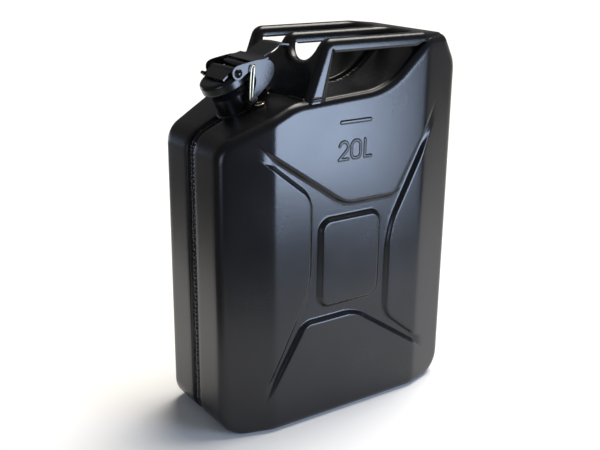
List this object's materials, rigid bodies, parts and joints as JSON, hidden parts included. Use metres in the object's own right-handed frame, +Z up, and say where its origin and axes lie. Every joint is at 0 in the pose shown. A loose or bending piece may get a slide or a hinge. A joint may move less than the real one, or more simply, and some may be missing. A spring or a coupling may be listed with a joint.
{
  "type": "jerry can",
  "caption": "Tall flat pressed-steel fuel can, two welded halves with an embossed cross, triple carrying bars and a tilted neck with a hinged cam-lever lid.",
  "frame": {"origin": "centre of the base on the ground", "axes": "+Z up, X along the length with the pouring neck towards -X, Y across the thickness, left side -Y"},
  "size_m": [0.345, 0.1666, 0.47],
  "materials": {
    "black_paint": "satin black powder coat",
    "gloss_hardware": "gloss black paint over rivet heads",
    "zinc_wire": "yellowish zinc-plated wire",
    "seal_rubber": "matt nitrile rubber"
  },
  "bodies": {
    "can": {"left_shell": "black_paint", "right_shell": "black_paint", "seam_weld": "black_paint", "handle_bar_left": "black_paint", "handle_bar_middle": "black_paint", "handle_bar_right": "black_paint", "handle_front_plate": "black_paint", "handle_rear_plate": "black_paint", "handle_gusset_left": "black_paint", "handle_gusset_right": "black_paint", "handle_foot_welds": "black_paint", "neck_tube": "black_paint", "neck_weld": "black_paint", "breather_tube": "black_paint", "hinge_bracket": "black_paint", "hinge_pin": "gloss_hardware", "neck_lug_left": "black_paint", "neck_lug_right": "black_paint", "split_ring": "zinc_wire"},
    "lid": {"lid_cup": "black_paint", "lid_gasket": "seal_rubber", "lid_rivet": "gloss_hardware", "hinge_arm": "black_paint", "clamp_plate": "black_paint", "front_pin": "gloss_hardware", "rear_pin": "gloss_hardware", "rear_spacer": "gloss_hardware"},
    "lever": {"cam_lever": "black_paint"},
    "safety_wire": {"safety_pin": "zinc_wire"}
  },
  "joints": [
    {"name": "lid_hinge", "type": "hinge", "parent": "can", "child": "lid", "pos_m": [-0.08761, 0, 0.40984], "axis": [0, 1, 0], "range_deg": [0, 68]},
    {"name": "lever_pivot", "type": "hinge", "parent": "lid", "child": "lever", "pos_m": [-0.1256, 0, 0.43224], "axis": [0, 1, 0], "range_deg": [-143, 0]},
    {"name": "wire_swing", "type": "hinge", "parent": "lever", "child": "safety_wire", "pos_m": [-0.10525, -0.03, 0.4396], "axis": [0, 1, 0], "range_deg": [0, 40]}
  ],
  "couplings": [
    {"joint": "lever_pivot", "follows": "lid_hinge", "ratio": -2.1}
  ]
}
